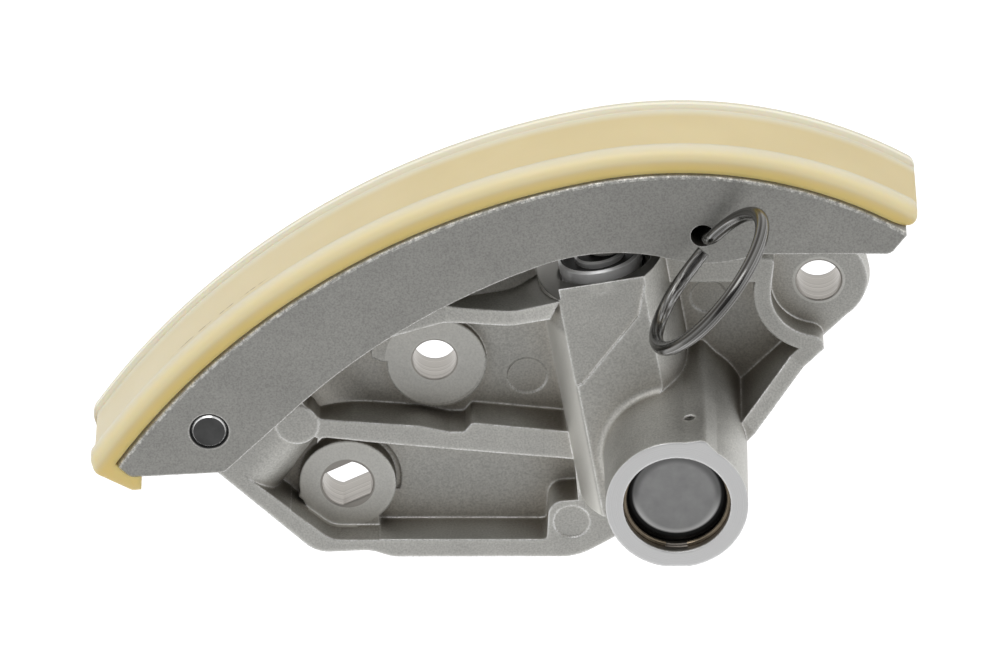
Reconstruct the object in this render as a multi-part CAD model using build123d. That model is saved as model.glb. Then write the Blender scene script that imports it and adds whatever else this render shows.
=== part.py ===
from build123d import *
import os
from math import acos, atan2, cos, degrees, hypot, radians, sin

os.makedirs("parts", exist_ok=True)

# Frame, in millimetres
# X runs to the right along the guide, Z runs up across it, and the engine lies on the +Y side.
# The mounting face is the plane Y = 0 and the part stands out from it towards -Y.
# The origin is the middle of the round bolt hole nearest the pivot, on the mounting face.
# A height below is a distance from the mounting face towards -Y.

# Bolt holes
HOLE_A = (0.0, 0.0)
HOLE_B = (-13.2, -21.0)
HOLE_C = (57.4, 14.2)
BOLT_HOLE_RADIUS = 3.35
SLOT_HOLE_RADIUS = 3.85
SLOT_HOLE_HALF_WIDTH = 3.1
SLOT_HOLE_ANGLE = 26.0
HOLE_CHAMFER = 0.3

# Heights of the casting
FLOOR_HEIGHT = 5.2
RIM_HEIGHT = 12.0
PAD_A_HEIGHT = 6.6
PAD_B_HEIGHT = 7.2
PAD_C_HEIGHT = 7.8
BLOCK_HEIGHT = 20.0
BOSS_HEIGHT = 36.0

# Plan of the casting
PAD_A_RADIUS = 7.45
PAD_B_RADIUS = 7.3
SPOT_FACE_B = 8.1
SPOT_FACE_C = 7.25
LUG_C_RADIUS = 7.2
LUG_C_BULGE = 0.5
LUG_C_PARTING = 5.7
RIB_C_OUTER = 9.8
RIB_C_END = (48.6, 20.1)
POCKET_CORNER = (-17.2, -7.2)
TOP_WALL_Z = 21.3
STRUT_ANGLE = 46.0
STRUT_OFFSET = 7.1
STRUT_WIDTH = 2.7

# Running surface of the guide: two arcs that meet tangentially
LEFT_RADIUS = 117.75
LEFT_CENTRE = (46.85, -74.65)
RIGHT_RADIUS = 68.05
BLEND_ANGLE = 102.1
RIGHT_CENTRE = (
    LEFT_CENTRE[0] + (LEFT_RADIUS - RIGHT_RADIUS) * cos(radians(BLEND_ANGLE)),
    LEFT_CENTRE[1] + (LEFT_RADIUS - RIGHT_RADIUS) * sin(radians(BLEND_ANGLE)),
)

# Guide shoe
SHOE_LOW = 2.0
SHOE_HIGH = 19.5
SHOE_THICKNESS = 3.65
CHANNEL_DEPTH = 0.75
RAIL_WIDTH = 2.5
RAIL_ROUNDING = 1.48
CHANNEL_LEFT_X = -50.9
RAIL_LEFT_X = -51.4
RAIL_FOOT_Z = -11.0
SHOE_RIGHT_X = 71.45
SHOE_RIGHT_Z = 28.9
HOOK_SIDE = (-50.9, -12.9)
HOOK_BOTTOM = (-45.2, -15.9)
HOOK_END = (-43.9, -15.7)
HOOK_INNER_Z = -11.0
KEY_WIDTH = 4.0
KEY_DEPTH = 1.2

# Lever arm and its fork
ARM_LOW = 3.4
ARM_HIGH = 19.4
ARM_LEFT_ANGLE = 146.0
ARM_RIGHT_ANGLE = 58.8
ARM_WALL = 3.0
ARM_WEB = 5.0
ARM_EDGE_CHAMFER = 0.8
PIVOT = (-33.6, -5.3)
PIVOT_PIN_RADIUS = 2.75
PIVOT_CLEARANCE = 0.03
TONGUE_RADIUS = 7.2
TONGUE_LOW = 7.7
TONGUE_ANGLE = -43.6
TONGUE_LENGTH = 10.0
FORK_GAP = 0.3
SWING_DEGREES = 10.0
ARM_CLEARANCE = 1.5
ARM_TIP = (-45.5, -13.05)
ARM_HEEL = (-31.4, -12.2)
ARM_BELLY_LEFT = (-19.5, -0.2)
ARM_BELLY_MIDDLE = (-2.0, 13.7)
ARM_BELLY_RIGHT = (15.1, 22.5)
ARM_ARCH_TOP = (24.6, 24.85)
ARM_ARCH_RIGHT = (33.4, 24.35)
ARM_LUG_BOTTOM = (40.2, 23.2)
ARM_LUG_RIGHT = (48.0, 24.75)
ARM_END_CORNER = (67.6, 24.8)
ARM_END_TOP = (69.9, 27.9)

# Crowned foot of the arm, on the piston's nose
FOOT_RADIUS = 3.0
FOOT_CROWN_RADIUS = 12.0
FOOT_SIDE = 1.4
FOOT_GAP = 0.05

# Piston axis: it lies in the middle plane of the arm and leans back from the vertical
PISTON_HEAD = (24.5, 20.96)
PISTON_HEIGHT = 11.5
PISTON_TILT = 10.0
PISTON_RADIUS = 6.25
PISTON_LENGTH = 24.0
PISTON_CAVITY_RADIUS = 4.6
PISTON_CROWN = 3.0
VENT_DISC_THICKNESS = 1.0
NOSE_RADIUS = 3.75
NOSE_RISE = 0.25
BORE_RADIUS = 6.3
BORE_MOUTH_DEPTH = 2.75
BORE_BOTTOM_DEPTH = 33.0
BLOCK_TOP_DEPTH = 1.0
BLOCK_END_DEPTH = 40.0

# Check valve, measured down the bore from the piston's head
BALL_RADIUS = 2.0
SEAT_THICKNESS = 2.0
SEAT_HOLE_RADIUS = 1.5
SEAT_CONTACT_RADIUS = 1.75
SEAT_TOP = -(BORE_BOTTOM_DEPTH - SEAT_THICKNESS)
BALL_Z = SEAT_TOP + (BALL_RADIUS**2 - SEAT_CONTACT_RADIUS**2) ** 0.5

# Oil reservoir
BOSS = (36.0, -8.5)
BOSS_FOOT_RADIUS = 11.0
BOSS_DRAFT = 0.7
BOSS_FLAT_Z = -19.3
BOSS_BLEND = 1.0
CAP_BORE_RADIUS = 8.0
CAP_BORE_FLOOR = 29.4
RESERVOIR_RADIUS = 7.0
RESERVOIR_FLOOR = 19.8
CAP_FACE_HEIGHT = 33.3
CAP_RADIUS = 7.95
CAP_CORNER = 1.25
CAP_WALL = 0.9
SEAL_WIRE_RADIUS = 0.6
CAP_RING_WIRE_RADIUS = 0.5
CAP_RING_HEIGHT = 34.05
INLET = (40.2, -6.2)
INLET_RADIUS = 1.6
STRAINER_RADIUS = 4.0
STRAINER_THICKNESS = 1.0
VENT = (37.9, 1.0)
VENT_HEIGHT = 28.6
VENT_RADIUS = 0.8

# Locking pin
WIRE_RADIUS = 1.05
LOCK_HOLE = (39.75, 27.8)
LOCK_HOLE_RADIUS = 1.8
LOCK_PIN = (40.4, 27.85)
LOCK_RING_RADIUS = 12.0
LOCK_RING_ANGLE = 50.0
LOCK_RING_STAND_OFF = 2.2
LOCK_LIMB_TURN = 170.0
LOCK_TIP_HEIGHT = 1.2
TAB_RADIUS = 4.4
TAB_HEIGHT = 2.8
CATCH_CLEARANCE = 0.12
CATCH_HALF_ANGLE = 27.0


def front(height):
    """Sketch plane that faces away from the engine, at a height above the mounting face."""
    return Plane(origin=(0, -height, 0), x_dir=(1, 0, 0), z_dir=(0, -1, 0))


def slab(face, low, high):
    """A flat shape between two heights."""
    return extrude(front(low) * face, amount=high - low)


def disc(centre, radius):
    return Pos(*centre) * Circle(radius)


def post(centre, radius, low, high):
    return slab(disc(centre, radius), low, high)


def outline(*corners):
    """A closed outline of straight sides, from corners given as x, z and a rounding."""
    points = [(x, z) for x, z, rounding in corners]
    return make_face(FilletPolyline(*points, radius=[corner[2] for corner in corners], close=True))


def edges_at_height(shape, height):
    return shape.edges().filter_by_position(Axis.Y, -height - 0.01, -height + 0.01)


def round_corner(face, point, radius):
    corner = face.vertices().sort_by_distance(Vector(*point, 0))[0]
    return fillet(corner, radius)


def on_line(start, angle, distance):
    """Point at a distance from the start, in a direction given in degrees."""
    return (start[0] + distance * cos(radians(angle)), start[1] + distance * sin(radians(angle)))


def run_point(depth, angle):
    """Point under the running surface, at an angle seen from the centre of its own arc."""
    if angle >= BLEND_ANGLE:
        return on_line(LEFT_CENTRE, angle, LEFT_RADIUS - depth)
    return on_line(RIGHT_CENTRE, angle, RIGHT_RADIUS - depth)


def run_arcs(depth, left_angle, right_angle):
    """The two arcs of the guide at a depth under the running surface, from left to right."""
    joint = run_point(depth, BLEND_ANGLE)
    left_middle = run_point(depth, (left_angle + BLEND_ANGLE) / 2)
    right_middle = run_point(depth, (right_angle + BLEND_ANGLE - 0.01) / 2)
    return [
        ThreePointArc(run_point(depth, left_angle), left_middle, joint),
        ThreePointArc(joint, right_middle, run_point(depth, right_angle)),
    ]


def turned(profile):
    """A turned piece from its half section, x outwards and z along the axis."""
    return revolve(Plane.XZ * profile, Axis.Z)


# Plane of the piston: local z runs up the bore, local x to the right, local y into the engine
PISTON_PLANE = Plane(
    origin=(PISTON_HEAD[0], -PISTON_HEIGHT, PISTON_HEAD[1]),
    x_dir=(cos(radians(PISTON_TILT)), 0, sin(radians(PISTON_TILT))),
    z_dir=(-sin(radians(PISTON_TILT)), 0, cos(radians(PISTON_TILT))),
)


def bore_point(depth, side=0.0):
    """Point at a depth below the piston's head, and to one side of its axis, seen from the front."""
    tilt = radians(PISTON_TILT)
    return (
        PISTON_HEAD[0] + depth * sin(tilt) + side * cos(tilt),
        PISTON_HEAD[1] - depth * cos(tilt) + side * sin(tilt),
    )


# Lever arm

def arm_outline():
    top_left = run_point(SHOE_THICKNESS, ARM_LEFT_ANGLE)
    top_right = run_point(SHOE_THICKNESS, ARM_RIGHT_ANGLE)
    edges = run_arcs(SHOE_THICKNESS, ARM_LEFT_ANGLE, ARM_RIGHT_ANGLE) + [
        Line(top_right, ARM_END_TOP),
        Line(ARM_END_TOP, ARM_END_CORNER),
        Line(ARM_END_CORNER, ARM_LUG_RIGHT),
        ThreePointArc(ARM_LUG_RIGHT, ARM_LUG_BOTTOM, ARM_ARCH_RIGHT),
        ThreePointArc(ARM_ARCH_RIGHT, ARM_ARCH_TOP, ARM_BELLY_RIGHT),
        ThreePointArc(ARM_BELLY_RIGHT, ARM_BELLY_MIDDLE, ARM_BELLY_LEFT),
        Line(ARM_BELLY_LEFT, ARM_HEEL),
        Line(ARM_HEEL, ARM_TIP),
        Line(ARM_TIP, top_left),
    ]
    face = make_face(edges)
    face = round_corner(face, ARM_END_CORNER, 1.5)
    face = round_corner(face, ARM_HEEL, 1.2)
    face = round_corner(face, ARM_TIP, 1.6)
    return face


def tongue_band(angle, half_width, length):
    """The housing's tongue in the fork: a disc round the pivot and a band that leads to the casting."""
    band = Pos(*PIVOT) * Rot(0, 0, angle) * Pos(length / 2, 0) * Rectangle(length, 2 * half_width)
    return disc(PIVOT, half_width) + band


def fork_slot():
    """Room in the arm for the housing's tongue, from rest to the end of the swing."""
    slot = disc(PIVOT, TONGUE_RADIUS + FORK_GAP)
    for swing in (0.0, SWING_DEGREES / 2, SWING_DEGREES):
        slot += tongue_band(TONGUE_ANGLE - swing, TONGUE_RADIUS + FORK_GAP, 3 * TONGUE_LENGTH)
    return slab(slot, TONGUE_LOW - FORK_GAP, RIM_HEIGHT + FORK_GAP)


def arm_core(left, right):
    """A lightening pocket in the arm's rear face, between two upright ribs."""
    shape = arm_outline()
    inside = shape & Pos(0, ARM_WALL) * shape & Pos(0, -ARM_WALL) * shape
    window = Pos((left + right) / 2, 0) * Rectangle(right - left, 100)
    return slab(inside & window, ARM_LOW, ARM_HIGH - ARM_WEB)


def contact_foot():
    """The crowned foot under the arm that presses on the piston's nose."""
    crown_tip = NOSE_RISE + FOOT_GAP
    foot_top = 8.0
    crown_edge = crown_tip + FOOT_CROWN_RADIUS - (FOOT_CROWN_RADIUS**2 - FOOT_RADIUS**2) ** 0.5
    crown_middle_x = FOOT_RADIUS / 2
    crown_middle_z = crown_tip + FOOT_CROWN_RADIUS - (FOOT_CROWN_RADIUS**2 - crown_middle_x**2) ** 0.5
    profile = make_face(
        [
            ThreePointArc((0, crown_tip), (crown_middle_x, crown_middle_z), (FOOT_RADIUS, crown_edge)),
            Line((FOOT_RADIUS, crown_edge), (FOOT_RADIUS, foot_top)),
            Line((FOOT_RADIUS, foot_top), (0, foot_top)),
            Line((0, foot_top), (0, crown_tip)),
        ]
    )
    return PISTON_PLANE * Pos(FOOT_SIDE, 0, 0) * turned(profile)


def lever_arm():
    arm = slab(arm_outline(), ARM_LOW, ARM_HIGH)
    for left, right in ((-15.0, 17.5), (31.5, 35.0), (46.0, 66.0)):
        arm -= arm_core(left, right)
    arm += contact_foot()
    arm -= fork_slot()
    arm -= key(FORK_GAP / 2)
    arm -= post(PIVOT, PIVOT_PIN_RADIUS + PIVOT_CLEARANCE, 0, 2 * ARM_HIGH)
    arm -= post(LOCK_HOLE, LOCK_HOLE_RADIUS, 0, 2 * ARM_HIGH)
    front_face = arm.faces().filter_by(Axis.Y).sort_by(Axis.Y)[0]
    pivot_rim = front_face.edges().filter_by(GeomType.CIRCLE).sort_by_distance(
        Vector(PIVOT[0], -ARM_HIGH, PIVOT[1])
    )[0]
    arm = chamfer(pivot_rim, HOLE_CHAMFER)
    front_arcs = edges_at_height(arm, ARM_HIGH).filter_by(GeomType.CIRCLE)
    run_radii = (LEFT_RADIUS - SHOE_THICKNESS, RIGHT_RADIUS - SHOE_THICKNESS)
    run_edges = [edge for edge in front_arcs if min(abs(edge.radius - radius) for radius in run_radii) < 0.01]
    return chamfer(run_edges, ARM_EDGE_CHAMFER)


# Guide shoe

def run_angle(depth, x):
    """Angle on the guide's arcs, at a depth under the running surface, of the point above an x."""
    centre, radius = (RIGHT_CENTRE, RIGHT_RADIUS) if x > RIGHT_CENTRE[0] else (LEFT_CENTRE, LEFT_RADIUS)
    return degrees(acos((x - centre[0]) / (radius - depth)))


def shoe_profile(depth, left_x, top_rounding, rail_foot=()):
    """Side view of the shoe at a depth under its running surface, with the hook round the arm's tip."""
    left_angle, right_angle = run_angle(depth, left_x), run_angle(depth, SHOE_RIGHT_X)
    top_left, top_right = run_point(depth, left_angle), run_point(depth, right_angle)
    low_right = (SHOE_RIGHT_X, SHOE_RIGHT_Z)
    hook_inner = (HOOK_END[0], HOOK_INNER_Z)
    inner_left = run_point(SHOE_THICKNESS, ARM_LEFT_ANGLE)
    inner_right = run_point(SHOE_THICKNESS, ARM_RIGHT_ANGLE)
    right = Polyline(top_right, low_right, inner_right)
    left = Polyline(top_left, *rail_foot, HOOK_SIDE, HOOK_BOTTOM, HOOK_END, hook_inner, inner_left)
    arcs = run_arcs(depth, left_angle, right_angle)
    arcs += run_arcs(SHOE_THICKNESS, ARM_LEFT_ANGLE, ARM_RIGHT_ANGLE)
    face = make_face(arcs + right.edges() + left.edges())
    face = round_corner(face, top_right, top_rounding)
    face = round_corner(face, low_right, RAIL_ROUNDING + 0.02)
    for corner in (top_left, HOOK_SIDE, HOOK_BOTTOM, *rail_foot):
        face = round_corner(face, corner, RAIL_ROUNDING + 0.2)
    return face


def shoe_body():
    """A low channel between two rounded rails; the outer edges are rounded right round to the hook."""
    channel_corner, rail_corner = 0.5, 1.9
    arm = slab(arm_outline(), SHOE_LOW - 1.0, SHOE_HIGH + 1.0)
    rail = shoe_profile(0, RAIL_LEFT_X, rail_corner, [(RAIL_LEFT_X, RAIL_FOOT_Z)])
    body = slab(shoe_profile(CHANNEL_DEPTH, CHANNEL_LEFT_X, channel_corner), SHOE_LOW, SHOE_HIGH)
    body += slab(rail, SHOE_LOW, SHOE_LOW + RAIL_WIDTH)
    body += slab(rail, SHOE_HIGH - RAIL_WIDTH, SHOE_HIGH)
    body -= arm
    for side in (0, -1):
        rim = body.faces().filter_by(Axis.Y).sort_by(Axis.Y)[side].edges()
        body = fillet([edge for edge in rim if edge.distance_to(arm) > 0.05], RAIL_ROUNDING)
    return body


def key(gap):
    """The rib under the shoe that locates it across the arm."""
    left_angle, right_angle = ARM_LEFT_ANGLE - 12, ARM_RIGHT_ANGLE + 4
    top, bottom = SHOE_THICKNESS - 0.2, SHOE_THICKNESS + KEY_DEPTH + gap
    ends = [Line(run_point(top, angle), run_point(bottom, angle)) for angle in (left_angle, right_angle)]
    arcs = run_arcs(top, left_angle, right_angle) + run_arcs(bottom, left_angle, right_angle)
    middle, half = (SHOE_LOW + SHOE_HIGH) / 2, KEY_WIDTH / 2 + gap
    return slab(make_face(arcs + ends), middle - half, middle + half)


def guide_shoe():
    return shoe_body() + key(0)


# Housing

def strut_point(distance):
    """Point on the straight lower right side of the casting, from the tangent point at lug C downwards."""
    tangent = on_line(HOLE_C, STRUT_ANGLE - 90, STRUT_OFFSET)
    return on_line(tangent, STRUT_ANGLE + 180, distance)


def casting_outline():
    """The outer edge of the casting's base."""
    body = outline(
        (-36.5, -12.75, 0),
        (-17.9, -30.2, 5.0),
        (-9.6, -29.8, 6.0),
        (-6.4, -30.95, 6.0),
        (21.5, -30.9, 9.0),
        (41.7, -18.6, 0),
        (*strut_point(21.5), 0),
        (*strut_point(0), 0),
        (HOLE_C[0], TOP_WALL_Z, 0),
        (34.0, TOP_WALL_Z, 0),
        (34.0, 27.0, 0),
        (15.0, 27.0, 0),
        (-14.0, 11.0, 0),
        (-36.0, -8.0, 0),
    )
    return body + disc(HOLE_C, LUG_C_RADIUS) + boss_foot()


def lower_pocket():
    return outline(
        (-8.4, -28.0, 0),
        (16.9, -28.0, 0.8),
        (17.2, -21.5, 2.4),
        (21.6, -21.2, 0),
        (21.0, -14.1, 0),
        (2.2, -12.35, 0),
        (-8.4, -11.3, 0),
    )


def pad_b_pocket():
    """The deeper pocket round the pad of the slotted hole, open to the right."""
    around = outline(
        (-21.7, -23.0, 0),
        (-15.6, -28.1, 4.0),
        (-8.4, -28.1, 0),
        (-8.4, -11.3, 0),
        (-16.9, -10.3, 1.2),
        (-21.0, -16.5, 3.0),
        (-21.7, -20.5, 0),
    )
    above_rim = Pos(HOLE_B[0], HOLE_B[1] + 8.0) * Rectangle(4 * SPOT_FACE_B, 20.0)
    return around + (disc(HOLE_B, SPOT_FACE_B) & above_rim)


def upper_pocket():
    """Pocket round the first round bolt hole; its top follows the underside of the arm."""
    return outline(
        (*POCKET_CORNER, 0.6),
        (-14.5, -7.5, 0),
        (-2.2, -8.45, 0),
        (2.2, -9.45, 0),
        (4.4, -9.45, 0.8),
        (5.6, -7.9, 0.8),
        (20.2, -9.4, 0),
        (16.3, 13.6, 0),
        (11.4, 10.8, 8.0),
        (1.6, 9.3, 6.0),
        (-7.0, 6.6, 2.0),
        (-20.2, -4.1, 0.8),
    )


def pocket_ramp():
    """The floor of the upper pocket climbs to the rim towards its pointed left end."""
    ramp = make_face(
        [
            Line((20.0, -RIM_HEIGHT - 1), (20.0, -FLOOR_HEIGHT)),
            Line((20.0, -FLOOR_HEIGHT), (5.6, -FLOOR_HEIGHT)),
            ThreePointArc((5.6, -FLOOR_HEIGHT), (1.9, -6.2), (-1.0, -RIM_HEIGHT - 1)),
            Line((-1.0, -RIM_HEIGHT - 1), (20.0, -RIM_HEIGHT - 1)),
        ]
    )
    inwards = Plane(origin=(POCKET_CORNER[0], 0, POCKET_CORNER[1]), x_dir=(1, 0, 1), z_dir=(-1, 0, 1))
    return extrude(inwards * ramp, amount=40, both=True)


def right_pocket():
    """Pocket between the barrel, the strut and the curved rib."""
    strut_inner = [on_line(strut_point(d), STRUT_ANGLE + 90, STRUT_WIDTH) for d in (22.0, 8.5)]
    pocket = outline(
        (31.0, 16.1, 0),
        (38.0, -1.0, 0),
        (*strut_inner[0], 0),
        (*strut_inner[1], 0),
        (53.5, 16.1, 0),
    )
    return pocket - disc(HOLE_C, RIB_C_OUTER) - disc(BOSS, BOSS_FOOT_RADIUS - 0.5)


def lug_c_clearance():
    """Everything above the lug's face, right of the curved rib and round the rib's rounded end."""
    rib_x = HOLE_C[0] + 0.8
    beside = outline(
        (rib_x, 2.0, 0),
        (75.0, 2.0, 0),
        (75.0, 26.0, 0),
        (RIB_C_END[0], 26.0, 0),
        (*RIB_C_END, 0),
        (HOLE_C[0] - 6.75, RIB_C_END[1], 0.9),
        (HOLE_C[0] - 7.2, HOLE_C[1] + 1.0, 0),
        (rib_x, HOLE_C[1], 0),
    )
    room = beside + disc(HOLE_C, SPOT_FACE_C)
    room = round_corner(room, (rib_x, HOLE_C[1] - SPOT_FACE_C), 2.2)
    return slab(room, PAD_C_HEIGHT, BLOCK_HEIGHT)


def left_hollow():
    """The hollow between the tongue and the slotted hole; the casting's face rolls down into it."""
    edge_start, edge_end = (-28.9, -16.7), (-22.8, -8.3)
    roll_radius = 7.4
    zone = outline(
        (*edge_start, 0),
        (*edge_end, 0),
        (-17.5, -10.5, 0),
        (-19.0, -21.0, 0),
        (-21.6, -22.9, 0),
    )
    edge_angle = degrees(atan2(edge_end[1] - edge_start[1], edge_end[0] - edge_start[0]))
    roll_place = Pos(edge_start[0], -(RIM_HEIGHT - roll_radius), edge_start[1])
    roll = roll_place * Rot(0, -edge_angle, 0) * Rot(0, 90, 0) * Cylinder(roll_radius, 40)
    return slab(zone, FLOOR_HEIGHT - 0.6, RIM_HEIGHT + 1) - roll


def barrel():
    """The piston barrel: straight sides with draft, rounded shoulders and a flat front."""
    half_foot, half_side, half_flat = 10.5, 9.75, 6.2
    side_height = 11.0
    shoulder = (8.55, 15.8)
    edges = [
        Line((-half_foot, 0), (half_foot, 0)),
        Line((half_foot, 0), (half_side, side_height)),
        ThreePointArc((half_side, side_height), shoulder, (half_flat, BLOCK_HEIGHT)),
        Line((half_flat, BLOCK_HEIGHT), (-half_flat, BLOCK_HEIGHT)),
        ThreePointArc((-half_flat, BLOCK_HEIGHT), (-shoulder[0], shoulder[1]), (-half_side, side_height)),
        Line((-half_side, side_height), (-half_foot, 0)),
    ]
    section = Pos(0, PISTON_HEIGHT) * Rot(180, 0, 0) * make_face(edges)
    length = BLOCK_END_DEPTH - BLOCK_TOP_DEPTH
    return PISTON_PLANE * Pos(0, 0, -BLOCK_END_DEPTH) * extrude(section, amount=length, dir=(0, 0, 1))


def barrel_step():
    """The upper left part of the barrel's front lies a little lower, along a slanting edge."""
    step = 0.45
    low_end, high_end = (22.1, 3.1), (30.3, 14.6)
    region = outline(
        (*low_end, 0.5),
        (*high_end, 1.0),
        (*bore_point(BLOCK_TOP_DEPTH - 1, 7.2), 0),
        (*bore_point(BLOCK_TOP_DEPTH - 1, -12.0), 0),
        (*bore_point(19.0, -12.0), 0),
    )
    return slab(region, BLOCK_HEIGHT - step, BLOCK_HEIGHT + 1)


def climbing_web(face, start, angle, climb):
    """A web whose front edge climbs; climb holds (distance, height) pairs from the start along the angle."""
    reach = 2 * BLOCK_HEIGHT
    above = [(distance, height) for distance, height in climb]
    above += [(climb[-1][0], reach), (climb[0][0], reach)]
    plane = Plane(
        origin=(start[0], 0, start[1]),
        x_dir=(cos(radians(angle)), 0, sin(radians(angle))),
        z_dir=(-sin(radians(angle)), 0, cos(radians(angle))),
    )
    cutter = extrude(plane * Rot(180, 0, 0) * make_face(Polyline(*above, close=True)), amount=reach, both=True)
    return slab(face, FLOOR_HEIGHT - 1, BLOCK_HEIGHT) - cutter


def top_gusset():
    """The gusset from the first bolt lug up to the barrel: it climbs in two slopes."""
    face = outline(
        (-1.0, 8.7, 0),
        (4.5, 9.75, 12.0),
        (11.4, 10.8, 8.0),
        (17.3, 13.7, 0),
        (18.6, 17.1, 0),
        (11.7, 13.3, 8.0),
        (4.0, 12.2, 0),
        (-1.0, 12.0, 0),
    )
    climb = [(-4.0, RIM_HEIGHT), (1.7, RIM_HEIGHT), (11.5, 16.0), (18.6, BLOCK_HEIGHT)]
    return climbing_web(face, (0, 0), 0, climb)


def behind_gusset():
    """The low sloping ground between the gusset and the arm."""
    region = outline(
        (1.8, 11.9, 0),
        (4.0, 12.2, 0),
        (11.7, 13.3, 8.0),
        (18.6, 17.1, 0),
        (17.0, 30.0, 0),
        (-6.0, 30.0, 0),
    )
    slope = Plane(origin=(0, -9.0, 13.0), x_dir=(1, 0, 0), z_dir=Vector(0, -0.93, 0.37))
    above_slope = extrude(slope * Pos(8, 0) * Rectangle(60, 60), amount=30)
    return slab(region, FLOOR_HEIGHT, BLOCK_HEIGHT) & above_slope


def strut():
    """The strut from the curved rib to the reservoir barrel, with a climbing front edge."""
    top, bottom = 7.0, 24.0
    crease = 10.6
    face = outline(
        (*strut_point(top), 0),
        (*strut_point(bottom), 0),
        (*on_line(strut_point(bottom), STRUT_ANGLE + 90, STRUT_WIDTH), 0),
        (*on_line(strut_point(top), STRUT_ANGLE + 90, STRUT_WIDTH), 0),
    )
    climb = [(0, RIM_HEIGHT), (crease, RIM_HEIGHT), (crease + 10.4, 18.8), (bottom + 1, 19.4)]
    return climbing_web(face, strut_point(0), STRUT_ANGLE + 180, climb)


def boss_foot():
    """The foot of the reservoir barrel: round, with a flat at the bottom."""
    below = Pos(BOSS[0], BOSS_FLAT_Z - BOSS_FOOT_RADIUS) * Rectangle(4 * BOSS_FOOT_RADIUS, 2 * BOSS_FOOT_RADIUS)
    return disc(BOSS, BOSS_FOOT_RADIUS) - below


def boss():
    """The reservoir barrel with the small lobe on its upper right side."""
    lobe = outline(
        (33.0, -1.0, 0),
        (33.4, 1.9, 0),
        (40.1, 2.9, 1.6),
        (42.9, -0.2, 0),
        (40.0, -5.0, 0),
    )
    foot = boss_foot() + lobe
    return extrude(front(0) * foot, amount=BOSS_HEIGHT, taper=BOSS_DRAFT)


def arm_clearance():
    """Room round the arm at rest, through the whole depth of the casting."""
    shape = arm_outline()
    room = shape
    for turn in range(0, 360, 45):
        room += Pos(*on_line((0, 0), turn, ARM_CLEARANCE)) * shape
    return slab(room, -1, BLOCK_HEIGHT)


def tongue():
    return slab(tongue_band(TONGUE_ANGLE, TONGUE_RADIUS, TONGUE_LENGTH), TONGUE_LOW, RIM_HEIGHT)


def lock_tab():
    """The thin tab behind the arm that takes the tip of the locking pin."""
    stem_low = TOP_WALL_Z - 2.0
    stem = Pos(LOCK_PIN[0], (LOCK_PIN[1] + stem_low) / 2) * Rectangle(2 * TAB_RADIUS, LOCK_PIN[1] - stem_low)
    tab = slab(disc(LOCK_PIN, TAB_RADIUS) + stem, 0, TAB_HEIGHT)
    depth = TAB_HEIGHT - LOCK_TIP_HEIGHT
    bottom = WIRE_RADIUS + CATCH_CLEARANCE
    mouth = bottom + depth * sin(radians(CATCH_HALF_ANGLE)) / cos(radians(CATCH_HALF_ANGLE))
    catch = loft([front(LOCK_TIP_HEIGHT) * disc(LOCK_PIN, bottom), front(TAB_HEIGHT) * disc(LOCK_PIN, mouth)])
    return tab - catch


def bolt_holes():
    slot = Circle(SLOT_HOLE_RADIUS) & Rectangle(4 * SLOT_HOLE_RADIUS, 2 * SLOT_HOLE_HALF_WIDTH)
    holes = slab(Pos(*HOLE_B) * Rot(0, 0, SLOT_HOLE_ANGLE) * slot, -1, BOSS_HEIGHT)
    for centre in (HOLE_A, HOLE_C):
        holes += post(centre, BOLT_HOLE_RADIUS, -1, BOSS_HEIGHT)
    return holes


def bore_cut():
    """The piston bore, its counterbore and the chamber under the valve seat."""
    counterbore_radius, mouth_chamfer = 7.9, 0.4
    chamber_radius, chamber_end = 2.6, 36.0
    profile = make_face(
        Polyline(
            (0, 5),
            (counterbore_radius, 5),
            (counterbore_radius, -BORE_MOUTH_DEPTH),
            (BORE_RADIUS + mouth_chamfer, -BORE_MOUTH_DEPTH),
            (BORE_RADIUS, -BORE_MOUTH_DEPTH - mouth_chamfer),
            (BORE_RADIUS, -BORE_BOTTOM_DEPTH),
            (chamber_radius, -BORE_BOTTOM_DEPTH),
            (chamber_radius, -chamber_end),
            (0, -chamber_end),
            close=True,
        )
    )
    return PISTON_PLANE * turned(profile)


def left_shoulder_cut():
    """The lower step at the left of the barrel's top."""
    step_side, step_width = -6.3, 8.0
    step = Pos(step_side - step_width / 2, 0, -BORE_MOUTH_DEPTH + 3) * Box(step_width, 60, 6)
    return PISTON_PLANE * step


def reservoir_cut():
    """Cap bore, seal shoulder, reservoir, wire groove, oil passages and the small vent."""
    groove_radius = CAP_BORE_RADIUS + 0.45
    groove_low = CAP_RING_HEIGHT - CAP_RING_WIRE_RADIUS
    groove_high = CAP_RING_HEIGHT + CAP_RING_WIRE_RADIUS
    feed, feed_radius = (31.6, -11.6), 1.2
    cut = post(BOSS, CAP_BORE_RADIUS, CAP_BORE_FLOOR, BOSS_HEIGHT + 1)
    cut += post(BOSS, RESERVOIR_RADIUS, RESERVOIR_FLOOR, BOSS_HEIGHT)
    cut += post(BOSS, groove_radius, groove_low, groove_high)
    cut += post(feed, feed_radius, PISTON_HEIGHT, RESERVOIR_FLOOR + 1)
    cut += post(INLET, INLET_RADIUS, -1, RESERVOIR_FLOOR + 1)
    cut += post(INLET, STRAINER_RADIUS, -1, STRAINER_THICKNESS)
    return cut


def vent_hole():
    """The small hole in the top of the reservoir barrel."""
    return Pos(VENT[0], -VENT_HEIGHT, VENT[1]) * Cylinder(VENT_RADIUS, 8)


def ejector_marks():
    """Round marks of the ejector pins on the pocket floors, and on the corner pad."""
    depth = 0.2
    cut = post((13.9, -3.5), 3.0, FLOOR_HEIGHT - depth, FLOOR_HEIGHT + 1)
    cut += post((41.0, 10.0), 2.7, FLOOR_HEIGHT - depth, FLOOR_HEIGHT + 1)
    cut += post((20.6, -24.9), 2.75, RIM_HEIGHT - depth, RIM_HEIGHT + 1)
    return cut


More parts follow.
